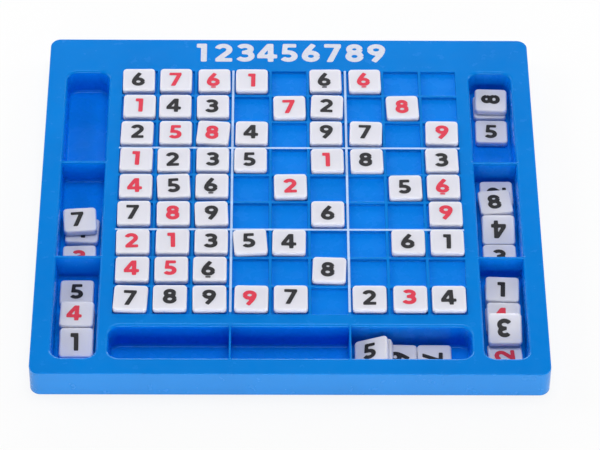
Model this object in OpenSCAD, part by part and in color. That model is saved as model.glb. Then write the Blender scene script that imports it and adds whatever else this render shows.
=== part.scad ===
// Sudoku board: one blue moulding with a 9 by 9 grid of shallow cells and three
// trays for spare tiles, and its set of 81 loose white number tiles.
// Millimetres, +Z up, front towards -Y, origin at the middle of the underside.

/* [Grid] */
// Distance from one cell to the next
cell_pitch = 22; // [18:0.5:28]
// Width of the ridges between cells
ridge_w = 1.6; // [1:0.1:2.4]
// Depth of a cell below the deck
cell_depth = 1.9; // [1.5:0.1:4]

/* [Board] */
// Thickness of every wall of the moulding
wall = 1.6; // [1.2:0.1:2.4]
// Plain deck behind the grid
back_band = 26.8; // [15:0.1:45]
// Plain deck outside the side trays
side_rim = 11.1; // [6:0.1:20]
// Plain deck in front of the trays
front_rim = 12.1; // [6:0.1:20]
// Radius of the board's four upright corners
board_corner_r = 6; // [3:0.5:10]
// Radius along the deck's outer edge
deck_edge_r = 0.6; // [0.4:0.1:1.5]

/* [Trays] */
// Depth of the trays below the deck
tray_depth = 15.6; // [11:0.1:22]
// Spare width of a side tray beside a tile
side_tray_play = 6; // [3:0.1:12]
// Spare width of the front tray beside a tile
front_tray_play = 4.9; // [3:0.1:12]
// Deck between the grid and a side tray
side_gap = 7.2; // [5:0.1:15]
// Deck between the grid and the front tray
front_gap = 7.7; // [5:0.1:15]
// How far a side tray stops short of the grid's back line
side_tray_set_in = 1.4; // [0:0.1:12]
// Radius of the trays' upright corners
tray_corner_r = 6.5; // [5:0.1:8]
// Radius between a tray's walls and its floor
tray_floor_r = 1.8; // [0.8:0.1:2.5]
// Thickness of the partitions in the trays
partition_t = 1.3; // [0.8:0.1:2]
// How much nearer its middle a side tray's partitions stand
partition_shift = 0.4; // [0:0.1:2]

/* [Tiles] */
// Gap between a tile and each side of its cell
tile_gap = 0.8; // [0.3:0.1:1.5]
// Thickness of a tile
tile_t = 4; // [3.4:0.1:5.5]
// Radius of a tile's upright corners
tile_corner_r = 2.2; // [1.6:0.1:3]
// Radius along a tile's edges
tile_edge_r = 1; // [0.6:0.1:1.5]
// Least room left between loose tiles and what is beside them
loose_gap = 0.1; // [0.05:0.05:0.3]
// Air between tiles that lie on one another
stack_gap = 0.05; // [0.02:0.01:0.2]

/* [Hidden] */
$fn = 64;
cell_count = 9;
block_cells = 3;
bay_count = 3;
overcut = 1;

grid_w = cell_count * cell_pitch;
cell_w = cell_pitch - ridge_w;
tile_w = cell_w - 2 * tile_gap;
block_line = block_cells * cell_pitch / 2;

side_tray_w = tile_w + side_tray_play;
front_tray_w = grid_w + ridge_w;
front_tray_d = tile_w + front_tray_play;
board_w = grid_w + 2 * (side_gap + side_tray_w + side_rim);
board_d = back_band + grid_w + front_gap + front_tray_d + front_rim;
board_h = tray_depth + wall;

grid_y = board_d / 2 - back_band - grid_w / 2;
cell_floor_z = board_h - cell_depth;
tray_floor_z = board_h - tray_depth;
tray_front_y = front_rim - board_d / 2;
front_tray_y = tray_front_y + front_tray_d / 2;
side_tray_x = grid_w / 2 + side_gap + side_tray_w / 2;
side_tray_back_y = grid_y + grid_w / 2 - side_tray_set_in;
side_tray_l = side_tray_back_y - tray_front_y;
bay_l = (side_tray_l - (bay_count - 1) * partition_t) / bay_count;

// Largest turn a tile can take in its cell, and half its width when turned
tile_flat = tile_w / 2 - tile_corner_r;
turn_room = (cell_w / 2 - loose_gap - tile_corner_r) / tile_flat;
turn_limit = 45 - acos(min(turn_room, sqrt(2)) / sqrt(2));
function reach(turn) = tile_flat * (cos(turn) + sin(abs(turn))) + tile_corner_r;

// Tiles on the grid, one list for each row from the back: column, then how far
// the tile lies to the right, to the back and turned left, as shares of its play
grid_tiles = [
    [[1, -1, 1, 0.15], [2, -1, 1, 0], [3, -0.1, 0.9, 0.15], [4, 0, 0.85, 0],
     [6, -1, 1, 0.15], [7, 1, 1, 0.15]],
    [[1, 0.55, 0.6, 0], [2, -1, 0.65, 0], [3, -1, 0.4, 0.1], [5, 0.2, -0.4, 0.15],
     [6, 0.2, 1, -0.35], [8, 0.5, 0, 0.3]],
    [[1, -0.7, 0, -0.15], [2, 0, 0.35, 0], [3, -1, 1, -0.7], [4, 0.2, 0.15, -0.15],
     [6, -1, 0.35, 0], [7, 1, 0.4, -0.35], [9, 1, 1, -0.15]],
    [[1, -0.5, 0, -0.15], [2, -1, -0.5, 0.1], [3, -0.3, 0.15, 0], [4, -0.6, 0, 0],
     [6, -0.25, -1, 0.15], [7, 1, -1, 0.15], [9, -0.2, -0.2, 0.15]],
    [[1, 0.1, 0.5, 0], [2, -1, 1, 0.55], [3, -0.55, 0.9, 0], [5, 0.85, 0.85, 0.15],
     [8, 0.55, -0.4, 0.15], [9, 0.1, 0.7, 0]],
    [[1, -0.65, 1, 0.15], [2, 0, 0.7, 0.15], [3, -1, 0.8, 0.4], [6, -0.5, 1, 0],
     [9, 0.95, 1, 0]],
    [[1, -0.55, 0, 0.15], [2, 0.05, 0.3, 0], [3, -0.25, 0.4, 0], [4, -1, 0, 0.65],
     [5, -0.7, 0.2, -0.15], [8, 1, 0.4, 0], [9, 1, 0.7, 0]],
    [[1, 0, 0.75, 0], [2, -0.3, 1, 0.15], [3, -1, 1, 0], [6, 0, 1, -0.4]],
    [[1, -0.75, 1, -0.4], [2, -0.75, 1, 0], [3, -1, 1, 0.15], [4, 1, 1, -0.15],
     [5, 0.65, 1, 0], [7, 0.2, 1, 0], [8, 1, 1, 0], [9, 0.2, 1, 0]],
];
function tile_name(row, col) = str("tile_r", row, "_c", col);

// Half of a block's outline, from its middle out, with a round top and bottom edge
module half_profile(half_w, h, top_r, bottom_r) {
    translate([0, bottom_r]) square([half_w, h - top_r - bottom_r]);
    if (top_r > 0) {
        square([half_w - top_r, h]);
        translate([half_w - top_r, h - top_r]) circle(top_r);
    }
    if (bottom_r > 0) {
        square([half_w - bottom_r, h / 2]);
        translate([half_w - bottom_r, bottom_r]) circle(bottom_r);
    }
}

module full_profile(w, h, top_r, bottom_r) {
    half_profile(w / 2, h, top_r, bottom_r);
    mirror([1, 0]) half_profile(w / 2, h, top_r, bottom_r);
}

// Block with round upright corners and round edges, standing on z = 0
module soft_block(w, d, h, corner_r, top_r, bottom_r) {
    rotate([90, 0, 0])
        linear_extrude(d - 2 * corner_r, center = true) full_profile(w, h, top_r, bottom_r);
    rotate([90, 0, 90])
        linear_extrude(w - 2 * corner_r, center = true) full_profile(d, h, top_r, bottom_r);
    for (x = [-1, 1], y = [-1, 1])
        translate([x * (w / 2 - corner_r), y * (d / 2 - corner_r), 0])
            rotate_extrude() intersection() {
                half_profile(corner_r, h, top_r, bottom_r);
                square([corner_r, h]);
            }
}

// Upright block with round corners
module round_post(w, d, h, corner_r) {
    soft_block(w, d, h, corner_r, 0, 0);
}

module grid_cells() {
    for (col = [1:cell_count], row = [1:cell_count])
        translate([cell_x(col) - cell_w / 2, cell_y(row) - cell_w / 2, cell_floor_z])
            cube([cell_w, cell_w, cell_depth + overcut]);
}
function cell_x(col) = (col - (cell_count + 1) / 2) * cell_pitch;
function cell_y(row) = grid_y + ((cell_count + 1) / 2 - row) * cell_pitch;

// Front face of the bay that lies behind so many partitions of a side tray
function bay_front(index) =
    tray_front_y + index * (bay_l + partition_t)
    + partition_shift * (index == 1 ? 1 : index == 2 ? -1 : 0);

// Hollow of a side tray, without its partitions
module side_tray_hollow() {
    difference() {
        translate([0, (tray_front_y + side_tray_back_y) / 2, tray_floor_z])
            soft_block(side_tray_w, side_tray_l, tray_depth + overcut, tray_corner_r, 0, tray_floor_r);
        for (index = [1:bay_count - 1])
            translate([-side_tray_w, bay_front(index) - partition_t, 0])
                cube([2 * side_tray_w, partition_t, board_h]);
    }
}

// Hollow of the front tray, without its partitions
module front_tray_hollow() {
    difference() {
        translate([0, front_tray_y, tray_floor_z])
            soft_block(front_tray_w, front_tray_d, tray_depth + overcut, tray_corner_r, 0, tray_floor_r);
        for (x = [-block_line, block_line])
            translate([x - partition_t / 2, tray_front_y - overcut, 0])
                cube([partition_t, front_tray_d + 2 * overcut, board_h]);
    }
}

// Space below the deck: all but the walls round the grid and the trays
module underside_hollow() {
    plate_w = grid_w - ridge_w + 2 * wall;
    plate_z = cell_floor_z - wall;
    difference() {
        translate([0, 0, -overcut])
            round_post(board_w - 2 * wall, board_d - 2 * wall, board_h - wall + overcut,
                       board_corner_r - wall);
        translate([-plate_w / 2, grid_y - plate_w / 2, plate_z])
            cube([plate_w, plate_w, board_h]);
        for (side = [-1, 1])
            translate([side * side_tray_x, (tray_front_y + side_tray_back_y) / 2, -2 * overcut])
                round_post(side_tray_w + 2 * wall, side_tray_l + 2 * wall, board_h + 3 * overcut,
                           tray_corner_r + wall);
        translate([0, front_tray_y, -2 * overcut])
            round_post(front_tray_w + 2 * wall, front_tray_d + 2 * wall, board_h + 3 * overcut,
                       tray_corner_r + wall);
    }
}

module board() {
    color("dodgerblue") difference() {
        soft_block(board_w, board_d, board_h, board_corner_r, deck_edge_r, 0);
        grid_cells();
        for (side = [-1, 1])
            translate([side * side_tray_x, 0, 0]) side_tray_hollow();
        front_tray_hollow();
        underside_hollow();
    }
}

// One loose tile, standing on z = 0
module tile() {
    soft_block(tile_w, tile_w, tile_t, tile_corner_r, tile_edge_r, tile_edge_r);
}

// Tile that lies in its cell, shifted and turned by shares of its play
module grid_tile(row, spot) {
    turn = spot[3] * turn_limit;
    play = cell_w / 2 - loose_gap - reach(turn);
    color("white")
        translate([cell_x(spot[0]) + spot[1] * play, cell_y(row) + spot[2] * play, cell_floor_z])
            rotate(turn) tile();
}

// Room beside a low tile at a tray wall, which the floor's radius narrows
floor_gap = max(tray_floor_r - tile_edge_r, 0) + loose_gap;
// Room that a tile on this level needs beside a tray's wall
function wall_room(level) = level == 0 ? floor_gap : loose_gap;
// Room in front of a low tile in a tray's round corner, going by the room beside it
function end_gap(side_room) =
    let (arc = tray_corner_r - tile_corner_r, low_arc = arc - floor_gap)
    arc - sqrt(max(pow(low_arc, 2) - pow(max(arc - side_room, 0), 2), 0));
// How far a tile in a side tray can lie off the tray's middle
function side_play(turn, level) = side_tray_play / 2 + tile_w / 2 - reach(turn) - wall_room(level);

function level_z(level) = tray_floor_z + level * (tile_t + stack_gap);

// Tile that lies flat in a tray, so many tiles above its floor
module flat_tile(x, y, level, turn = 0) {
    translate([x, y, level_z(level)]) rotate(turn) tile();
}

// The same in a side tray, off the tray's middle by a share of its play
module side_tile(share, y, level, turn = 0) {
    flat_tile(share * side_play(turn, level), y, level, turn);
}

// Tile in a side tray that stands on its front edge, at foot_y, and leans back on
// the front edge of a flat tile that is run behind its foot
module tile_leaning_back(share, foot_y, level, run) {
    translate([share * side_play(0, level), foot_y, level_z(level)])
        rotate([lean(run), 0, 0]) translate([0, tile_w / 2, -settle(run)]) tile();
}

// Tile in the front tray that stands on its left edge, at foot_x, and leans right on
// the left edge of a flat tile; a second one can lie on it, slid down the slope
module tile_leaning_right(foot_x, y, run, count, slide = 0) {
    translate([foot_x, y, tray_floor_z])
        rotate([0, -lean(run), 0])
            translate([tile_w / 2 - slide, 0, count * (tile_t + stack_gap) - settle(run)]) tile();
}

// Slope of a tile whose underside is one tile high at this distance from its foot
function lean(run) = atan(tile_t / run);
// How far such a tile sinks until its round edges touch
function settle(run) = tile_edge_r * (sin(lean(run)) + cos(lean(run)) - 1) - stack_gap;

// Seven spare tiles in the left tray
module left_tray_tiles() {
    between = 2;
    overlap_shift = 4.6;
    middle_front_y = bay_front(1) + loose_gap + reach(2);
    middle_back_y = middle_front_y + 2 * reach(2) + between;

    behind = 6.6;
    front_between = 1.85;
    top_shift = 0.5;
    front_run = tile_w - 0.8;
    front_back_y = bay_front(1) - partition_t - behind - tile_w / 2;
    front_middle_y = front_back_y - tile_w - front_between;
    front_foot_y = front_middle_y - tile_w / 2 - front_run;

    color("white") translate([-side_tray_x, 0, 0]) {
        side_tile(-0.1, middle_front_y, 0, 2);
        side_tile(0.35, middle_back_y, 0, -2);
        side_tile(-0.35, middle_back_y + overlap_shift, 1, 4.5);

        side_tile(-0.25, front_back_y, 0);
        side_tile(0.35, front_middle_y, 0);
        side_tile(0.15, front_middle_y + top_shift, 1, -1);
        tile_leaning_back(0.4, front_foot_y, 0, front_run);
    }
}

// Fourteen spare tiles in the right tray
module right_tray_tiles() {
    behind = 7.75;
    back_shift = 1.65;
    back_between = 2.05;
    back_y = side_tray_back_y - behind - tile_w / 2;
    back_front_y = back_y - tile_w / 2 - back_between - reach(1);

    middle_off = 1.9;
    middle_run = 11.7;
    middle_between = 1;
    middle_front_y = bay_front(1) + middle_off + tile_w / 2;
    middle_foot_y = middle_front_y + tile_w / 2 + tile_t * sin(lean(middle_run)) + loose_gap;
    middle_under_y = middle_foot_y + middle_run + tile_w / 2;
    middle_back_y = middle_under_y + tile_w / 2 + loose_gap + reach(0.5);
    middle_top_y = middle_foot_y + tile_w * cos(lean(middle_run)) + middle_between + reach(5);

    front_off = 0.9;
    front_run = 11;
    front_hold = 3.2;
    front_between = 0.3;
    under_shift = 0.3;
    front_side_room = side_tray_play / 2 + tile_w / 2 - reach(3.5);
    front_y = tray_front_y + front_off + end_gap(front_side_room) + reach(3.5);
    front_foot_y = front_y + reach(3.5) - front_hold;
    front_middle_y = front_foot_y + front_run + reach(2);
    front_back_y = front_middle_y + reach(2) + front_between + reach(2.5);

    color("white") translate([side_tray_x, 0, 0]) {
        side_tile(-0.1, back_y, 0);
        side_tile(0.25, back_y + back_shift, 1, -2);
        side_tile(0.1, back_front_y, 0, -1);

        side_tile(0.2, middle_front_y, 0);
        tile_leaning_back(0.2, middle_foot_y, 0, middle_run);
        side_tile(0.2, middle_under_y, 0);
        side_tile(0.4, middle_back_y, 0, 0.5);
        side_tile(-0.2, middle_top_y, 1, 5);

        side_tile(0, front_y, 0, 3.5);
        tile_leaning_back(0, front_foot_y, 1, front_run);
        side_tile(-0.15, front_middle_y + under_shift, 0);
        side_tile(0.05, front_middle_y, 1, -2);
        side_tile(0.15, front_back_y - under_shift, 0);
        side_tile(0.1, front_back_y, 1, -2.5);
    }
}

// Four spare tiles in the front tray's right bay
module front_tray_tiles() {
    run = 11.6;
    slide = 1.3;
    from_wall = 1.6;
    from_front = 0.7;
    pair_t = 2 * tile_t + stack_gap;
    bay_x = block_line + partition_t / 2;
    foot_x = bay_x + from_wall + pair_t * sin(lean(run)) + slide * cos(lean(run));
    front_y = tray_front_y + from_front + wall_room(0);
    top_front_y = tray_front_y + from_front + wall_room(1);
    flat_x = foot_x + run + reach(2);
    color("white") {
        tile_leaning_right(foot_x, front_y + tile_w / 2, run, 0);
        tile_leaning_right(foot_x, top_front_y + tile_w / 2, run, 1, slide);
        flat_tile(flat_x, front_y + reach(2), 0, -2);
        flat_tile(flat_x + reach(2) + loose_gap + tile_w / 2, front_y + tile_w / 2, 0);
    }
}

board();
for (row = [1:cell_count], spot = grid_tiles[row - 1])
    grid_tile(row, spot);
left_tray_tiles();
right_tray_tiles();
front_tray_tiles();
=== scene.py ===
"""Looks of the sudoku board: the blue moulding, its printed lines and the loose number tiles."""

import math
import random

import bmesh
import bpy
from mathutils import Matrix, Vector
from mathutils.geometry import delaunay_2d_cdt


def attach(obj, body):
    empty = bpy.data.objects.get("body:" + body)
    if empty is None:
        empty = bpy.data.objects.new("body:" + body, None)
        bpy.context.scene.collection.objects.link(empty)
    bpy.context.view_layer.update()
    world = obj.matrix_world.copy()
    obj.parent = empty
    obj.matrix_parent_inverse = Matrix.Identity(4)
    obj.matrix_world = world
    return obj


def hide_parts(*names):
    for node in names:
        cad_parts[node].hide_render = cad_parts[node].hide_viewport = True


MM = 0.001

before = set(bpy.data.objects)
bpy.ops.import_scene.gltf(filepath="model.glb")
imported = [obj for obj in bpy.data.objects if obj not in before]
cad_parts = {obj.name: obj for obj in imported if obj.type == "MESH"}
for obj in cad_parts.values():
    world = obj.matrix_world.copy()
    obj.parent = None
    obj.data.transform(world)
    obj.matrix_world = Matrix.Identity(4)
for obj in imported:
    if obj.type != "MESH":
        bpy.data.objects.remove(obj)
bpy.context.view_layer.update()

# Board sizes in millimetres, as in the CAD
CELL_PITCH = 22.0
CELLS = 9
RIDGE_W = 1.6
CELL_W = CELL_PITCH - RIDGE_W
CELL_DEPTH = 1.9
WALL = 1.6
BACK_BAND = 26.8
SIDE_RIM = 11.1
FRONT_RIM = 12.1
SIDE_GAP = 7.2
FRONT_GAP = 7.7
SET_IN = 1.4
TRAY_DEPTH = 15.6
TILE_W = 18.8
TILE_T = 4.0
SIDE_TRAY_PLAY = 6.0
FRONT_TRAY_PLAY = 4.9
PARTITION_T = 1.3
PARTITION_SHIFT = 0.4
TRAY_CORNER_R = 6.5
TRAY_FLOOR_R = 1.8
BOARD_CORNER_R = 6.0
DECK_EDGE_R = 0.6

SIDE_TRAY_W = TILE_W + SIDE_TRAY_PLAY
FRONT_TRAY_D = TILE_W + FRONT_TRAY_PLAY
GRID_W = CELLS * CELL_PITCH
BOARD_W = GRID_W + 2 * (SIDE_GAP + SIDE_TRAY_W + SIDE_RIM)
BOARD_D = BACK_BAND + GRID_W + FRONT_GAP + FRONT_TRAY_D + FRONT_RIM
DECK_Z = TRAY_DEPTH + WALL
GRID_Y = BOARD_D / 2 - BACK_BAND - GRID_W / 2
TRAY_FRONT_Y = FRONT_RIM - BOARD_D / 2
TRAY_BACK_Y = GRID_Y + GRID_W / 2 - SET_IN
BAY_L = (TRAY_BACK_Y - TRAY_FRONT_Y - 2 * PARTITION_T) / 3
BLOCK_LINE = 1.5 * CELL_PITCH
FRONT_TRAY_W = GRID_W + RIDGE_W
SIDE_TRAY_X = GRID_W / 2 + SIDE_GAP + SIDE_TRAY_W / 2

# Small radii of the moulding
LEAST_R = 0.05
BAY_CORNER_R = 0.3
PLATE_CORNER_R = 0.3
CELL_CORNER_R = 0.5
CELL_MOUTH_R = 0.3
CELL_FLOOR_R = 0.3
PARTITION_MOUTH_R = 0.4
PARTITION_FOOT_R = 1.0
SKIRT_FOOT_R = 0.3

# Forms of the trays' walls that only the looks have: a small lean and a round upper edge
TRAY_DRAFT = math.radians(3.0)
TRAY_MOUTH_R = 1.8
TRAY_INSET = TRAY_DEPTH * math.tan(TRAY_DRAFT)
LEAN_SHARE = (1.0 - math.sin(TRAY_DRAFT)) / math.cos(TRAY_DRAFT)

# Lengths of mesh in a quarter circle seen from above, on the board
CORNER_STEPS = 8
# Edges that turn by more than this stay sharp
SHARP_ANGLE = math.radians(35.0)
# Print: how far it stands up from the surface, and how far it reaches into it
LINE_T = 0.03
NUMBER_T = 0.04
PRINT_SINK = 0.02


# Materials

def new_material(name):
    material = bpy.data.materials.new(name)
    material.use_nodes = True
    nodes = material.node_tree.nodes
    return material, nodes, material.node_tree.links, nodes["Principled BSDF"]


def add_node(nodes, kind, **values):
    node = nodes.new(kind)
    for name, value in values.items():
        if name in node.inputs:
            node.inputs[name].default_value = value
        else:
            setattr(node, name, value)
    return node


def colour_ramp(nodes, stops):
    ramp = nodes.new("ShaderNodeValToRGB")
    elements = ramp.color_ramp.elements
    while len(elements) < len(stops):
        elements.new(0.5)
    for element, (place, colour) in zip(elements, stops):
        element.position = place
        element.color = colour
    return ramp


def grey(value):
    return (value, value, value, 1.0)


def set_inputs(shader, values):
    for name, value in values.items():
        shader.inputs[name].default_value = value


def moulded_plastic(name, dark, light, roughness, grain, scratch):
    """Moulded plastic: cloudy colour, fine grain and a few thin scratches."""
    material, nodes, links, shader = new_material(name)
    place = nodes.new("ShaderNodeTexCoord")
    clouds = add_node(nodes, "ShaderNodeTexNoise", Scale=22.0, Detail=4.0)
    links.new(place.outputs["Object"], clouds.inputs["Vector"])
    tint = colour_ramp(nodes, [(0.35, dark), (0.65, light)])
    links.new(clouds.outputs["Fac"], tint.inputs["Fac"])
    links.new(tint.outputs["Color"], shader.inputs["Base Color"])

    spots = add_node(nodes, "ShaderNodeTexNoise", Scale=160.0, Detail=3.0)
    links.new(place.outputs["Object"], spots.inputs["Vector"])
    low, high = roughness
    dull = colour_ramp(nodes, [(0.3, grey(low)), (0.7, grey(high))])
    links.new(spots.outputs["Fac"], dull.inputs["Fac"])
    links.new(dull.outputs["Color"], shader.inputs["Roughness"])

    fine = add_node(nodes, "ShaderNodeTexNoise", Scale=1400.0, Detail=2.0)
    links.new(place.outputs["Object"], fine.inputs["Vector"])
    stretched = add_node(nodes, "ShaderNodeMapping")
    stretched.inputs["Scale"].default_value = (1.0, 9.0, 1.0)
    stretched.inputs["Rotation"].default_value = (0.0, 0.0, 0.6)
    links.new(place.outputs["Object"], stretched.inputs["Vector"])
    marks = add_node(nodes, "ShaderNodeTexNoise", Scale=130.0, Detail=6.0)
    links.new(stretched.outputs["Vector"], marks.inputs["Vector"])
    thin = colour_ramp(nodes, [(0.66, grey(0.0)), (0.72, grey(1.0))])
    links.new(marks.outputs["Fac"], thin.inputs["Fac"])
    grain_bump = add_node(nodes, "ShaderNodeBump", Strength=grain, Distance=0.0002)
    links.new(fine.outputs["Fac"], grain_bump.inputs["Height"])
    scratch_bump = add_node(nodes, "ShaderNodeBump", Strength=scratch, Distance=0.0002)
    scratch_bump.invert = True
    links.new(thin.outputs["Color"], scratch_bump.inputs["Height"])
    links.new(grain_bump.outputs["Normal"], scratch_bump.inputs["Normal"])
    links.new(scratch_bump.outputs["Normal"], shader.inputs["Normal"])
    return material, shader


def printed_ink(name, dark, light, roughness):
    """Flat print: a little uneven in colour and gloss."""
    material, nodes, links, shader = new_material(name)
    place = nodes.new("ShaderNodeTexCoord")
    cover = add_node(nodes, "ShaderNodeTexNoise", Scale=900.0, Detail=4.0)
    links.new(place.outputs["Object"], cover.inputs["Vector"])
    tint = colour_ramp(nodes, [(0.35, dark), (0.7, light)])
    links.new(cover.outputs["Fac"], tint.inputs["Fac"])
    links.new(tint.outputs["Color"], shader.inputs["Base Color"])
    low, high = roughness
    dull = colour_ramp(nodes, [(0.3, grey(low)), (0.7, grey(high))])
    links.new(cover.outputs["Fac"], dull.inputs["Fac"])
    links.new(dull.outputs["Color"], shader.inputs["Roughness"])
    return material, shader


BLUE, blue_shader = moulded_plastic(
    "blue_plastic", (0.0, 0.19, 0.64, 1.0), (0.0, 0.205, 0.68, 1.0), (0.22, 0.28), 0.02, 0.002)
# The skirt is a copy of the blue plastic in its own tone, with more shine and without the blue tint on
# its shine: painted reflection of the bright ground on the skirt
SKIRT_PAINTED_SHEEN, skirt_painted_sheen_shader = moulded_plastic(
    "blue_plastic_skirt_painted_sheen", (0.0, 0.2, 0.6, 1.0), (0.0, 0.215, 0.64, 1.0), (0.22, 0.28), 0.02, 0.002)
skirt_painted_sheen_shader.inputs["Specular IOR Level"].default_value = 0.6
# The recesses are a bluer copy of the blue plastic: painted bounce light, standing in for the blue light
# that bounces round inside the cells and trays
RECESS_PAINTED_BOUNCE, recess_painted_bounce_shader = moulded_plastic(
    "blue_plastic_recess_painted_bounce", (0.0, 0.21, 0.79, 1.0), (0.0, 0.22, 0.83, 1.0), (0.24, 0.3), 0.02, 0.002)
for shader in (blue_shader, recess_painted_bounce_shader):
    set_inputs(shader, {"Specular IOR Level": 0.35, "Specular Tint": (0.3, 0.65, 1.0, 1.0)})
WHITE, white_shader = moulded_plastic(
    "white_plastic", (0.7, 0.7, 0.77, 1.0), (0.74, 0.74, 0.81, 1.0), (0.32, 0.42), 0.03, 0.06)
set_inputs(white_shader, {
    "Subsurface Weight": 0.8,
    "Subsurface Radius": (1.0, 0.95, 0.9),
    "Subsurface Scale": 0.003,
})
BLACK, black_shader = printed_ink(
    "black_ink", (0.018, 0.018, 0.022, 1.0), (0.03, 0.03, 0.034, 1.0), (0.4, 0.5))
RED, red_shader = printed_ink(
    "red_ink", (0.66, 0.035, 0.07, 1.0), (0.72, 0.05, 0.09, 1.0), (0.4, 0.5))
for shader in (black_shader, red_shader):
    shader.inputs["Specular IOR Level"].default_value = 0.15
SILVER, _ = printed_ink("silver_ink", (0.58, 0.6, 0.7, 1.0), (0.66, 0.68, 0.78, 1.0), (0.4, 0.5))
LINE, _ = printed_ink("line_ink", (0.42, 0.6, 0.9, 1.0), (0.5, 0.67, 0.94, 1.0), (0.4, 0.5))

# Material slots of the board, and of the numbers on the tiles
DECK_SLOT = 0
# The recess slot takes the bluer copy of the blue plastic with the painted bounce light
RECESS_PAINTED_BOUNCE_SLOT = 1
# The skirt slot takes the copy of the blue plastic with the painted reflection of the ground
SKIRT_PAINTED_SHEEN_SLOT = 2
BLACK_SLOT = 1
RED_SLOT = 2


# Mesh helpers, in millimetres

def outline(x0, x1, y0, y1, radii, steps=CORNER_STEPS):
    """Points of a rectangle with round corners, front right corner first, counter-clockwise."""
    corners = [(x1, y0, -1, 1, 270), (x1, y1, -1, -1, 0), (x0, y1, 1, -1, 90), (x0, y0, 1, 1, 180)]
    points = []
    for (x, y, sx, sy, start), r in zip(corners, radii):
        for i in range(steps + 1):
            angle = math.radians(start + 90.0 * i / steps)
            points.append((x + sx * r + r * math.cos(angle), y + sy * r + r * math.sin(angle)))
    return points


def add_ring(bm, points, z):
    return [bm.verts.new((x, y, z)) for x, y in points]


def bridge(bm, ring_a, ring_b, material_index=0):
    count = len(ring_a)
    for i in range(count):
        j = (i + 1) % count
        bm.faces.new((ring_a[i], ring_a[j], ring_b[j], ring_b[i])).material_index = material_index


def quarter(steps):
    """Shares of a quarter circle: how far in, how far down."""
    angles = [0.5 * math.pi * i / steps for i in range(steps + 1)]
    return [(math.sin(a), 1.0 - math.cos(a)) for a in angles]


def fill_plane(bm, outer, holes):
    """Flat face between an outer ring and the rings of its holes, all of them vertices."""
    rings = [outer] + holes
    verts = [v for ring in rings for v in ring]
    edges = []
    start = 0
    for ring in rings:
        count = len(ring)
        edges += [(start + i, start + (i + 1) % count) for i in range(count)]
        start += count
    flat = [Vector((v.co.x, v.co.y)) for v in verts]
    places, _, triangles, origins, _, _ = delaunay_2d_cdt(flat, edges, [], 0, 1e-6)
    shapes = [[(v.co.x, v.co.y) for v in ring] for ring in rings]
    for triangle in triangles:
        middle = sum((places[i] for i in triangle), Vector((0.0, 0.0))) / 3
        if not inside(middle, shapes[0]) or any(inside(middle, s) for s in shapes[1:]):
            continue
        bm.faces.new([verts[origins[i][0]] for i in triangle])


def inside(point, shape):
    hit = False
    for (ax, ay), (bx, by) in zip(shape, shape[1:] + shape[:1]):
        if (ay > point.y) != (by > point.y):
            if point.x < ax + (point.y - ay) * (bx - ax) / (by - ay):
                hit = not hit
    return hit


def finish_mesh(bm, name, materials):
    """Object from a mesh in millimetres, smooth but for sharp edges."""
    bmesh.ops.remove_doubles(bm, verts=bm.verts, dist=1e-4)
    bmesh.ops.recalc_face_normals(bm, faces=bm.faces)
    bmesh.ops.scale(bm, vec=(MM, MM, MM), verts=bm.verts)
    for face in bm.faces:
        face.smooth = True
    for edge in bm.edges:
        if len(edge.link_faces) == 2:
            edge.smooth = edge.calc_face_angle(0.0) < SHARP_ANGLE
    mesh = bpy.data.meshes.new(name)
    bm.to_mesh(mesh)
    bm.free()
    for material in materials:
        mesh.materials.append(material)
    thing = bpy.data.objects.new(name, mesh)
    bpy.context.scene.collection.objects.link(thing)
    weighted = thing.modifiers.new("even_normals", "WEIGHTED_NORMAL")
    weighted.keep_sharp = True
    weighted.weight = 80
    return thing


# The board

def bay(bm, x0, x1, y0, y1, radii, thin_sides):
    """One bay of a tray; thin_sides are the left, right, front and back walls that are partitions.
    Returns the ring round its mouth on the deck."""
    floor_z = DECK_Z - TRAY_DEPTH

    def ring(shift, z):
        left, right, front, back = shift
        pairs = [(right, front), (right, back), (left, back), (left, front)]
        round_r = [max(r - 0.5 * (a + b), LEAST_R) for r, (a, b) in zip(radii, pairs)]
        return add_ring(bm, outline(x0 + left, x1 - right, y0 + front, y1 - back, round_r), z)

    steps = 7
    swing = 0.5 * math.pi - TRAY_DRAFT
    rings = []
    for i in range(steps + 1):
        angle = swing * i / steps
        upright = -PARTITION_MOUTH_R * (1.0 - math.sin(0.5 * math.pi * i / steps))
        leaning = TRAY_MOUTH_R * (math.sin(angle) - LEAN_SHARE)
        shift = [upright if thin else leaning for thin in thin_sides]
        rings.append(ring(shift, DECK_Z - TRAY_MOUTH_R * (1.0 - math.cos(angle))))
    for i in range(steps + 1):
        angle = TRAY_DRAFT + swing * i / steps
        upright = PARTITION_FOOT_R * (1.0 - math.cos(0.5 * math.pi * i / steps))
        leaning = TRAY_INSET + TRAY_FLOOR_R * (LEAN_SHARE - math.cos(angle))
        shift = [upright if thin else leaning for thin in thin_sides]
        rings.append(ring(shift, floor_z + TRAY_FLOOR_R * (1.0 - math.sin(angle))))
    for index, (upper, lower) in enumerate(zip(rings, rings[1:])):
        bridge(bm, upper, lower, RECESS_PAINTED_BOUNCE_SLOT if index >= steps else DECK_SLOT)
    bm.faces.new(rings[-1]).material_index = RECESS_PAINTED_BOUNCE_SLOT
    return rings[0]


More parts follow.
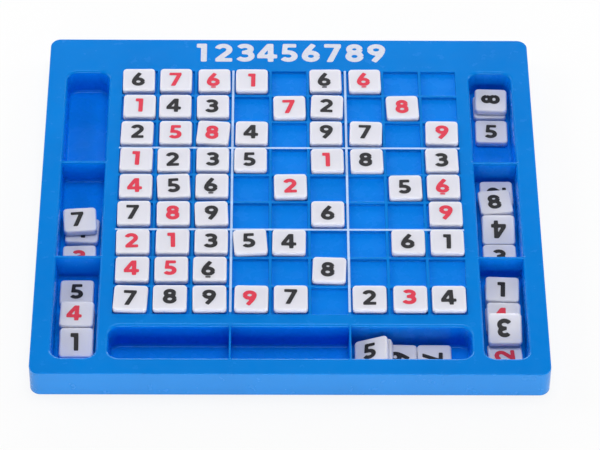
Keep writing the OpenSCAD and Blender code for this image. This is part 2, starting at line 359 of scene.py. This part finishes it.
def cell(bm, x, y):
    """One cell of the grid, out to the middle of the ridges round it."""
    half = CELL_PITCH / 2
    floor_z = DECK_Z - CELL_DEPTH

    def ring(inset, z):
        half_w = CELL_W / 2 - inset
        r = max(CELL_CORNER_R - inset, LEAST_R)
        return add_ring(bm, outline(x - half_w, x + half_w, y - half_w, y + half_w, [r] * 4, 4), z)

    rings = [add_ring(bm, outline(x - half, x + half, y - half, y + half, [0.0] * 4, 4), DECK_Z)]
    for across, down in quarter(4):
        rings.append(ring(-CELL_MOUTH_R * (1.0 - across), DECK_Z - CELL_MOUTH_R * down))
    for across, down in quarter(3):
        rings.append(ring(CELL_FLOOR_R * down, floor_z + CELL_FLOOR_R * (1.0 - across)))
    for upper, lower in zip(rings, rings[1:]):
        bridge(bm, upper, lower)
    bm.faces.new(rings[-1]).material_index = RECESS_PAINTED_BOUNCE_SLOT


def add_bays(bm):
    """The three trays, three bays each. Returns the rings round their mouths."""
    mouths = []
    step = BAY_L + PARTITION_T
    middle_front = TRAY_FRONT_Y + step + PARTITION_SHIFT
    back_front = TRAY_FRONT_Y + 2 * step - PARTITION_SHIFT
    fronts = [TRAY_FRONT_Y, middle_front, back_front]
    backs = [middle_front - PARTITION_T, back_front - PARTITION_T, TRAY_BACK_Y]
    for side in (-1, 1):
        x0 = side * SIDE_TRAY_X - SIDE_TRAY_W / 2
        for index in range(3):
            front_r = TRAY_CORNER_R if index == 0 else BAY_CORNER_R
            back_r = TRAY_CORNER_R if index == 2 else BAY_CORNER_R
            thin = [False, False, index > 0, index < 2]
            radii = [front_r, back_r, back_r, front_r]
            mouths.append(bay(bm, x0, x0 + SIDE_TRAY_W, fronts[index], backs[index], radii, thin))
    ends = [-FRONT_TRAY_W / 2, -BLOCK_LINE, BLOCK_LINE, FRONT_TRAY_W / 2]
    for index in range(3):
        x0 = ends[index] + (PARTITION_T / 2 if index > 0 else 0.0)
        x1 = ends[index + 1] - (PARTITION_T / 2 if index < 2 else 0.0)
        left_r = TRAY_CORNER_R if index == 0 else BAY_CORNER_R
        right_r = TRAY_CORNER_R if index == 2 else BAY_CORNER_R
        thin = [index > 0, index < 2, False, False]
        radii = [right_r, right_r, left_r, left_r]
        mouths.append(bay(bm, x0, x1, TRAY_FRONT_Y, TRAY_FRONT_Y + FRONT_TRAY_D, radii, thin))
    return mouths


def add_outside(bm):
    """The deck's edge, the skirt and its inside. Returns the rings on the deck and below it."""
    half_w = BOARD_W / 2
    half_d = BOARD_D / 2

    def slab_ring(inset, z, r):
        points = outline(inset - half_w, half_w - inset, inset - half_d, half_d - inset, [r] * 4)
        return add_ring(bm, points, z)

    edge_steps = 6
    rings = []
    for across, down in quarter(edge_steps):
        inset = DECK_EDGE_R * (1.0 - across)
        rings.append(slab_ring(inset, DECK_Z - DECK_EDGE_R * down, BOARD_CORNER_R - inset))
    for across, down in quarter(3):
        inset = SKIRT_FOOT_R * down
        rings.append(slab_ring(inset, SKIRT_FOOT_R * (1.0 - across), BOARD_CORNER_R - inset))
    rings.append(slab_ring(WALL, 0.0, BOARD_CORNER_R - WALL))
    rings.append(slab_ring(WALL, DECK_Z - WALL, BOARD_CORNER_R - WALL))
    for index, (outer, inner) in enumerate(zip(rings, rings[1:]), 1):
        bridge(bm, outer, inner, SKIRT_PAINTED_SHEEN_SLOT if index >= edge_steps else DECK_SLOT)
    return rings[0], rings[-1]


def add_deck(bm, edge, mouths):
    """The deck, with the grid's outline at every ridge."""
    half = GRID_W / 2
    steps = [i * CELL_PITCH - half for i in range(CELLS)]
    points = [(x, -half) for x in steps] + [(half, y) for y in steps]
    points += [(-x, half) for x in steps] + [(-half, -y) for y in steps]
    grid_ring = add_ring(bm, [(x, y + GRID_Y) for x, y in points], DECK_Z)
    fill_plane(bm, edge, mouths + [grid_ring])


def add_underside(bm, edge):
    """The plate below the cells and the outsides of the trays."""
    plate = (GRID_W - RIDGE_W) / 2 + WALL
    plate_z = DECK_Z - CELL_DEPTH - WALL
    blocks = [(-plate, plate, GRID_Y - plate, GRID_Y + plate, PLATE_CORNER_R, plate_z)]
    tray_r = TRAY_CORNER_R + WALL
    front = TRAY_FRONT_Y - WALL
    reach = SIDE_TRAY_W / 2 + WALL
    for middle in (-SIDE_TRAY_X, SIDE_TRAY_X):
        blocks.append((middle - reach, middle + reach, front, TRAY_BACK_Y + WALL, tray_r, 0.0))
    reach = FRONT_TRAY_W / 2 + WALL
    blocks.append((-reach, reach, front, TRAY_FRONT_Y + FRONT_TRAY_D + WALL, tray_r, 0.0))
    holes = []
    for x0, x1, y0, y1, r, low_z in blocks:
        points = outline(x0, x1, y0, y1, [r] * 4)
        high = add_ring(bm, points, DECK_Z - WALL)
        low = add_ring(bm, points, low_z)
        bridge(bm, high, low)
        bm.faces.new(low)
        holes.append(high)
    fill_plane(bm, edge, holes)


def build_board():
    bm = bmesh.new()
    for row in range(CELLS):
        for col in range(CELLS):
            cell(bm, (col - 4) * CELL_PITCH, GRID_Y + (4 - row) * CELL_PITCH)
    mouths = add_bays(bm)
    deck_edge, under_edge = add_outside(bm)
    add_deck(bm, deck_edge, mouths)
    add_underside(bm, under_edge)
    return finish_mesh(bm, "board_moulding", [BLUE, RECESS_PAINTED_BOUNCE, SKIRT_PAINTED_SHEEN])


board = build_board()
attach(board, "board")
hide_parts("board")


# Printed lines on the ridges between the blocks

LINE_W = 1.3
LINE_END_R = 0.4
# How far the lines stop short of the grid's edge, and how much more at the front
LINE_SHORT = 0.4
LINE_FRONT_SHORT = 2.0


def printed_line(name, x0, x1, y0, y1, radii):
    bm = bmesh.new()
    points = outline(x0, x1, y0, y1, radii, 4)
    low = add_ring(bm, points, DECK_Z - PRINT_SINK)
    high = add_ring(bm, points, DECK_Z + LINE_T)
    bridge(bm, low, high)
    bm.faces.new(high)
    bm.faces.new(low)
    line = finish_mesh(bm, name, [LINE])
    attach(line, "board")


def build_printed_lines():
    """Two whole lines front to back, and two across in three lengths each between them."""
    half = GRID_W / 2 - LINE_SHORT
    front = GRID_Y - half + LINE_FRONT_SHORT
    half_line = LINE_W / 2
    back = GRID_Y + half
    for word, x in (("left", -BLOCK_LINE), ("right", BLOCK_LINE)):
        printed_line(f"printed_line_{word}", x - half_line, x + half_line, front, back, [LINE_END_R] * 4)
    side = BLOCK_LINE - half_line
    lengths = [
        (-half, -side - LINE_W, [0.0, 0.0, LINE_END_R, LINE_END_R]),
        (-side, side, [0.0] * 4),
        (side + LINE_W, half, [LINE_END_R, LINE_END_R, 0.0, 0.0]),
    ]
    for word, y in (("front", GRID_Y - BLOCK_LINE), ("back", GRID_Y + BLOCK_LINE)):
        for index, (x0, x1, radii) in enumerate(lengths, 1):
            printed_line(f"printed_line_{word}_{index}", x0, x1, y - half_line, y + half_line, radii)


build_printed_lines()


# Numerals, drawn as strokes, joined into one flat shape each and rounded

DIGIT_H = 11.2
STROKE = 2.5
# Rounding of a numeral's outline: length of its steps, how few it may have, and how often it is evened
OUTLINE_STEP = 0.25
LEAST_STEPS = 12
EVEN_ROUNDS = 5


def arc(cx, cy, rx, ry, start, end, steps=20):
    angles = [math.radians(start + (end - start) * i / steps) for i in range(steps + 1)]
    return [(cx + rx * math.cos(a), cy + ry * math.sin(a)) for a in angles]


def stroke(points):
    """Quads along a line of points, with mitred corners."""
    sharpest_mitre = 0.4
    sides = []
    for i, (x, y) in enumerate(points):
        before = Vector(points[max(i - 1, 0)])
        after = Vector(points[min(i + 1, len(points) - 1)])
        here = Vector((x, y))
        a = (here - before).normalized() if i > 0 else (after - here).normalized()
        b = (after - here).normalized() if i < len(points) - 1 else a
        along = (a + b).normalized()
        normal = Vector((-along.y, along.x))
        scale = 0.5 * STROKE / max(normal.dot(Vector((-a.y, a.x))), sharpest_mitre)
        sides.append((here + normal * scale, here - normal * scale))
    return [[q0, q1, p1, p0] for (p0, q0), (p1, q1) in zip(sides, sides[1:])]


def bar(x0, x1, y0, y1):
    return [[Vector((x0, y0)), Vector((x1, y0)), Vector((x1, y1)), Vector((x0, y1))]]


def shape(*points):
    return [[Vector(p) for p in points]]


def digit_strokes(digit):
    h, s = DIGIT_H, STROKE
    if digit == 1:
        return stroke([(0.0, h - s / 2), (3.1, h - s / 2), (3.1, 0.0)])
    if digit == 2:
        bowl = arc(3.6, h - s / 2 - 2.45, 2.6, 2.45, 165, -40)
        return stroke(bowl + [(1.55, 1.6)]) + bar(0.2, 7.4, 0.0, 2.2)
    if digit == 3:
        upper = arc(3.4, h - s / 2 - 2.0, 2.6, 2.0, 155, -90)
        lower = arc(3.4, s / 2 + 2.35, 2.95, 2.35, 90, -155)
        return stroke(upper) + stroke(lower) + bar(2.2, 5.4, 4.7, 6.9)
    if digit == 4:
        slope = shape((0.1, 4.4), (2.8, 4.4), (6.9, h), (4.3, h))
        return slope + bar(0.1, 8.6, 2.2, 4.5) + bar(4.6, 7.0, 0.0, h)
    if digit == 5:
        bowl = arc(3.5, s / 2 + 2.35, 2.75, 2.35, 90, -150)
        neck = shape((0.75, 4.7), (2.9, 4.7), (3.3, h), (1.2, h))
        return neck + bar(1.2, 6.9, h - 2.2, h) + stroke([(1.2, s / 2 + 4.7)] + bowl)
    if digit == 6:
        ring = arc(3.75, s / 2 + 2.3, 2.65, 2.3, 0, 360, 36)
        stem = [(1.12, 3.2), (1.45, 5.2), (2.4, 7.2), (3.6, 8.9), (5.0, h - 0.3)]
        return stroke(ring) + stroke(stem)
    if digit == 7:
        leg = shape((1.2, 0.0), (3.9, 0.0), (7.5, h - 1.5), (4.95, h - 1.5))
        return bar(0.3, 7.5, h - 2.2, h) + leg
    if digit == 8:
        upper = arc(3.75, h - s / 2 - 1.98, 2.3, 1.98, 0, 360, 36)
        lower = arc(3.75, s / 2 + 2.27, 2.65, 2.27, 0, 360, 36)
        return stroke(upper) + stroke(lower)
    # A 9 is a 6 turned half round
    return [[Vector((7.5, h)) - p for p in quad] for quad in digit_strokes(6)]


def digit_face(digit, underline):
    """Points and triangles of a numeral, with its middle at the origin."""
    quads = digit_strokes(digit)
    xs = [p.x for quad in quads for p in quad]
    centre = Vector(((min(xs) + max(xs)) / 2, DIGIT_H / 2))
    if underline:
        quads = quads + bar(2.2, 5.3, -1.4, -0.3)
    points = [p - centre for quad in quads for p in quad]
    faces = [list(range(4 * i, 4 * i + 4)) for i in range(len(quads))]
    places, _, triangles, _, _, owners = delaunay_2d_cdt(points, [], faces, 0, 1e-4)
    loops = rim_loops([t for t, owner in zip(triangles, owners) if owner])
    return fill_loops([soften([places[i] for i in loop]) for loop in loops])


def rim_loops(triangles):
    """Closed runs of points round a set of triangles."""
    edges = {(t[i], t[(i + 1) % 3]) for t in triangles for i in range(3)}
    after = {}
    for a, b in sorted(edges):
        if (b, a) not in edges:
            after.setdefault(a, []).append(b)
    loops = []
    while after:
        first = min(after)
        loop = [first]
        while True:
            ways = after[loop[-1]]
            step = ways.pop()
            if not ways:
                del after[loop[-1]]
            if step == first:
                break
            loop.append(step)
        loops.append(loop)
    return loops


def soften(points):
    """The same outline in short even steps, with its corners rounded."""
    ends = points[1:] + points[:1]
    total = sum((b - a).length for a, b in zip(points, ends))
    count = max(int(total / OUTLINE_STEP), LEAST_STEPS)
    even = []
    walked = 0.0
    for a, b in zip(points, ends):
        length = (b - a).length
        while len(even) < count and len(even) * total / count <= walked + length:
            even.append(a.lerp(b, (len(even) * total / count - walked) / max(length, 1e-9)))
        walked += length
    for _ in range(EVEN_ROUNDS):
        before = even[-1:] + even[:-1]
        after = even[1:] + even[:1]
        even = [0.25 * a + 0.5 * b + 0.25 * c for a, b, c in zip(before, even, after)]
    return even


def fill_loops(loops):
    """Points and triangles between closed outlines, leaving the holes open."""
    points = [p for loop in loops for p in loop]
    edges = []
    for loop in loops:
        start = len(edges)
        edges += [(start + i, start + (i + 1) % len(loop)) for i in range(len(loop))]
    places, _, triangles, _, _, _ = delaunay_2d_cdt(points, edges, [], 0, 1e-5)
    shapes = [[(p.x, p.y) for p in loop] for loop in loops]
    kept = []
    for triangle in triangles:
        middle = sum((places[i] for i in triangle), Vector((0.0, 0.0))) / 3
        if sum(inside(middle, shape_points) for shape_points in shapes) % 2:
            kept.append(triangle)
    return places, kept


digit_faces = {(digit, False): digit_face(digit, False) for digit in range(1, 10)}
digit_faces[(6, True)] = digit_face(6, True)


def add_digit(bm, digit, underline, place, z, material_index, size=1.0):
    """Numeral as a thin print: its face and the rim down to the surface."""
    places, triangles = digit_faces[(digit, underline)]
    top = [bm.verts.new(place @ Vector((p.x * size, p.y * size, z + NUMBER_T))) for p in places]
    faces = [bm.faces.new([top[i] for i in triangle]) for triangle in triangles]
    edges = [e for e in {e for f in faces for e in f.edges} if len(e.link_faces) == 1]
    down = place.to_3x3() @ Vector((0.0, 0.0, NUMBER_T + PRINT_SINK))
    low = {}
    for edge in sorted(edges, key=lambda e: [tuple(v.co) for v in e.verts]):
        for vert in edge.verts:
            if vert not in low:
                low[vert] = bm.verts.new(vert.co - down)
        a, b = edge.verts
        faces.append(bm.faces.new((a, b, low[b], low[a])))
    for face in faces:
        face.material_index = material_index
    for vert in [v for v in top if not v.link_faces]:
        bm.verts.remove(vert)


# Number row printed on the band behind the grid

ROW_SIZE = 1.4
ROW_PITCH = 13.0
ROW_BEHIND = 15.2


def build_number_row():
    bm = bmesh.new()
    for digit in range(1, 10):
        spot = Matrix.Translation(((digit - 5) * ROW_PITCH, GRID_Y + GRID_W / 2 + ROW_BEHIND, 0.0))
        add_digit(bm, digit, False, spot, DECK_Z, 0, ROW_SIZE)
    row = finish_mesh(bm, "printed_number_row", [SILVER])
    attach(row, "board")


build_number_row()


# Tiles

TILE_CORNER_R = 2.2
TILE_EDGE_R = 1.0


def separate_solids(bm):
    """Vertices of each solid in a mesh that may hold several."""
    left = set(bm.verts)
    solids = []
    for first in bm.verts:
        if first not in left:
            continue
        left.remove(first)
        heap = [first]
        verts = [first]
        while heap:
            for edge in heap.pop().link_edges:
                for other in edge.verts:
                    if other in left:
                        left.remove(other)
                        heap.append(other)
                        verts.append(other)
        solids.append(verts)
    return solids


def flat_sides(verts):
    """Directions that a solid's faces look to, each with the area that looks there."""
    same_way = 0.9999
    sides = []
    faces = {face for vert in verts for face in vert.link_faces}
    for face in sorted(faces, key=lambda f: f.index):
        for side in sides:
            if side[0].dot(face.normal) > same_way:
                side[1] += face.calc_area()
                break
        else:
            sides.append([face.normal.copy(), face.calc_area()])
    return sides


def widest(sides):
    return max(sides, key=lambda side: side[1])[0]


def tile_frames(node):
    """Place and turn of each tile in a CAD node: the middle of its underside, its own right,
    back and up."""
    bm = bmesh.new()
    bm.from_mesh(node.data)
    bmesh.ops.remove_doubles(bm, verts=bm.verts, dist=1e-6)
    bm.faces.index_update()
    found = []
    for verts in separate_solids(bm):
        sides = flat_sides(verts)
        up = widest([side for side in sides if side[0].z > 0.5])
        right = widest([side for side in sides if abs(side[0].dot(up)) < 0.01 and side[0].x > 0.7])
        back = up.cross(right)
        spans = []
        for axis in (right, back, up):
            reach = [axis.dot(vert.co) for vert in verts]
            spans.append((min(reach), max(reach)))
        middle = right * sum(spans[0]) / 2 + back * sum(spans[1]) / 2 + up * spans[2][0]
        turn = Matrix((right, back, up)).transposed().to_4x4()
        found.append(Matrix.Translation(middle) @ turn)
    bm.free()
    return found


def add_tile_body(bm):
    corner_steps = 6
    edge_steps = 5

    def ring(inset, z):
        half = TILE_W / 2 - inset
        radii = [TILE_CORNER_R - inset] * 4
        return add_ring(bm, outline(-half, half, -half, half, radii, corner_steps), z)

    rings = []
    for across, down in quarter(edge_steps):
        rings.append(ring(TILE_EDGE_R * (1.0 - across), TILE_EDGE_R * down))
    for across, down in reversed(quarter(edge_steps)):
        rings.append(ring(TILE_EDGE_R * (1.0 - across), TILE_T - TILE_EDGE_R * down))
    for low, high in zip(rings, rings[1:]):
        bridge(bm, low, high)
    bm.faces.new(rings[0])
    bm.faces.new(rings[-1])


# The numbers on the grid, row 1 at the back: r after a number is red, u has a bar below it,
# t is turned half round
GRID_NUMBERS = [
    "9t 7r 6ru 1r . 6u 6ru . .",
    "1r 4 3 . 7r 2 . 8r .",
    "2 5r 8r 4 . 9 7 . 9r",
    "1r 2 3 5 . 1r 8 . 3",
    "4r 5 6u . 2r . . 5 6ru",
    "7 8r 9 . . 9t . . 9r",
    "2r 1r 3 5 4 . . 9t 1",
    "4r 5r 6u . . 8 . . .",
    "7 8 9 9r 7 . 2 3r 4",
]
# The spare tiles, in order along each tray: from the front, or from the left in the front tray.
# l and q are turned a quarter to the left and to the right.
SPARE_NUMBERS = {
    "left_tray_tiles": "1 6u 4r 5 3r 1 7",
    "right_tray_tiles": "2rl 3t 4r 7 8 1 3 4t 6u 8 2l 5 2 8l",
    "front_tray_tiles": "5 3 6uq 7q",
}

# Spare tiles whose number is printed well off the middle: tray, place in it, shift to the right
PRINT_SHIFTS = {
    ("left_tray_tiles", 1): -0.8,
    ("left_tray_tiles", 3): -1.4,
    ("left_tray_tiles", 7): -1.5,
    ("right_tray_tiles", 3): -1.4,
    ("front_tray_tiles", 4): -1.2,
}

QUARTER_TURNS = {"t": 2, "l": 1, "q": -1}

chance = random.Random(11)


def make_tile(name, spot, word, node, print_x=0.0):
    """One tile with its number, which is printed a little off the middle and a little turned."""
    dx = print_x + chance.uniform(-0.9, 0.1)
    dy = chance.uniform(-0.5, 0.5)
    slant = chance.uniform(-2.0, 2.0)
    turn = Matrix.Rotation(math.radians(90 * QUARTER_TURNS.get(word[-1], 0) + slant), 4, "Z")
    place = Matrix.Translation((dx, dy, 0.0)) @ turn
    ink_slot = RED_SLOT if "r" in word else BLACK_SLOT
    bm = bmesh.new()
    add_tile_body(bm)
    add_digit(bm, int(word[0]), "u" in word, place, TILE_T, ink_slot)
    tile = finish_mesh(bm, name, [WHITE, BLACK, RED])
    tile.matrix_world = spot
    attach(tile, node)
    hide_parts(node)


for row, line in enumerate(GRID_NUMBERS, 1):
    for col, word in enumerate(line.split(), 1):
        if word != ".":
            node = f"tile_r{row}_c{col}"
            make_tile(f"number_tile_r{row}_c{col}", tile_frames(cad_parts[node])[0], word, node)

for node, line in SPARE_NUMBERS.items():
    axis = 0 if node == "front_tray_tiles" else 1
    spots = sorted(tile_frames(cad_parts[node]), key=lambda m: m.translation[axis])
    for index, (spot, word) in enumerate(zip(spots, line.split()), 1):
        make_tile(f"{node}_{index:02d}", spot, word, node, PRINT_SHIFTS.get((node, index), 0.0))


# Stage, light and camera

FLOOR_HALF_M = 6.0
# How much of the floor's look is plain white, so that shadows on it stay pale
FLOOR_GLOW = 0.86


def build_stage():
    bm = bmesh.new()
    bmesh.ops.create_grid(bm, x_segments=1, y_segments=1, size=FLOOR_HALF_M)
    mesh = bpy.data.meshes.new("floor")
    bm.to_mesh(mesh)
    bm.free()
    floor = bpy.data.objects.new("floor", mesh)
    bpy.context.scene.collection.objects.link(floor)
    material, nodes, links, shader = new_material("floor_paper")
    set_inputs(shader, {"Base Color": grey(0.86), "Roughness": 0.9, "Specular IOR Level": 0.1})
    glow = add_node(nodes, "ShaderNodeEmission", Strength=1.0)
    path = nodes.new("ShaderNodeLightPath")
    seen = add_node(nodes, "ShaderNodeMath", operation="ADD", use_clamp=True)
    links.new(path.outputs["Is Camera Ray"], seen.inputs[0])
    links.new(path.outputs["Is Glossy Ray"], seen.inputs[1])
    seen_all = add_node(nodes, "ShaderNodeMath", operation="ADD", use_clamp=True)
    links.new(seen.outputs[0], seen_all.inputs[0])
    links.new(path.outputs["Is Transmission Ray"], seen_all.inputs[1])
    share = add_node(nodes, "ShaderNodeMath", operation="MULTIPLY")
    share.inputs[1].default_value = FLOOR_GLOW
    links.new(seen_all.outputs[0], share.inputs[0])
    mix = nodes.new("ShaderNodeMixShader")
    links.new(share.outputs[0], mix.inputs["Fac"])
    links.new(shader.outputs[0], mix.inputs[1])
    links.new(glow.outputs[0], mix.inputs[2])
    links.new(mix.outputs[0], nodes["Material Output"].inputs["Surface"])
    mesh.materials.append(material)


# Lights that look at the board: name, place and size in metres, power
LIGHTS = [
    ("top", (0.1, 0.2, 1.7), (1.0, 1.0), 15.5),
    ("left", (-1.4, 0.5, 0.8), (1.2, 0.8), 12.0),
    ("right", (1.4, 0.5, 0.8), (1.2, 0.8), 7.0),
    ("back", (0.0, 1.5, 0.5), (1.6, 0.5), 14.0),
    ("front", (0.0, -1.5, 0.35), (1.6, 0.4), 9.5),
    ("front_low", (0.0, -1.5, 0.1), (1.6, 0.16), 10.0),
    ("right_low", (1.5, 0.0, 0.1), (1.6, 0.16), 6.0),
]


def area_light(name, place, size, power):
    data = bpy.data.lights.new(name, "AREA")
    data.shape = "RECTANGLE"
    data.size, data.size_y = size
    data.energy = power
    light = bpy.data.objects.new(name, data)
    light.location = place
    light.rotation_euler = (-Vector(place)).to_track_quat("-Z", "Y").to_euler()
    bpy.context.scene.collection.objects.link(light)


def build_light():
    world = bpy.data.worlds.new("studio")
    bpy.context.scene.world = world
    world.use_nodes = True
    nodes = world.node_tree.nodes
    links = world.node_tree.links
    faint = nodes["Background"]
    set_inputs(faint, {"Color": grey(1.0), "Strength": 0.06})
    white = add_node(nodes, "ShaderNodeBackground", Color=grey(1.0), Strength=1.0)
    path = nodes.new("ShaderNodeLightPath")
    mix = nodes.new("ShaderNodeMixShader")
    links.new(path.outputs["Is Camera Ray"], mix.inputs["Fac"])
    links.new(faint.outputs[0], mix.inputs[1])
    links.new(white.outputs[0], mix.inputs[2])
    links.new(mix.outputs[0], nodes["World Output"].inputs["Surface"])
    for light in LIGHTS:
        area_light(*light)


# Camera fitted to the photograph: what it looks at on the deck, and from where
FOCAL_PX = 3333.3
IMAGE_W_PX = 600.0
SENSOR_MM = 36.0
LOOK_AT = (5.83, GRID_Y - 29.34, DECK_Z)
DISTANCE = 1886.7
ELEVATION = math.radians(45.6)
YAW = math.radians(-0.817)
ROLL = math.radians(0.747)


def build_camera():
    data = bpy.data.cameras.new("camera")
    data.sensor_fit = "HORIZONTAL"
    data.sensor_width = SENSOR_MM
    data.lens = FOCAL_PX / IMAGE_W_PX * SENSOR_MM
    data.clip_end = 50.0
    level = Vector((math.cos(YAW), math.sin(YAW), 0.0))
    towards = Vector((math.sin(YAW), -math.cos(YAW), 0.0))
    back = towards * math.cos(ELEVATION) + Vector((0.0, 0.0, math.sin(ELEVATION)))
    upright = back.cross(level)
    right = level * math.cos(ROLL) + upright * math.sin(ROLL)
    up = upright * math.cos(ROLL) - level * math.sin(ROLL)
    camera = bpy.data.objects.new("camera", data)
    place = (Vector(LOOK_AT) + back * DISTANCE) * MM
    camera.matrix_world = Matrix.Translation(place) @ Matrix((right, up, back)).transposed().to_4x4()
    bpy.context.scene.collection.objects.link(camera)
    bpy.context.scene.camera = camera


build_stage()
build_light()
build_camera()
bpy.context.scene.view_settings.view_transform = "Standard"
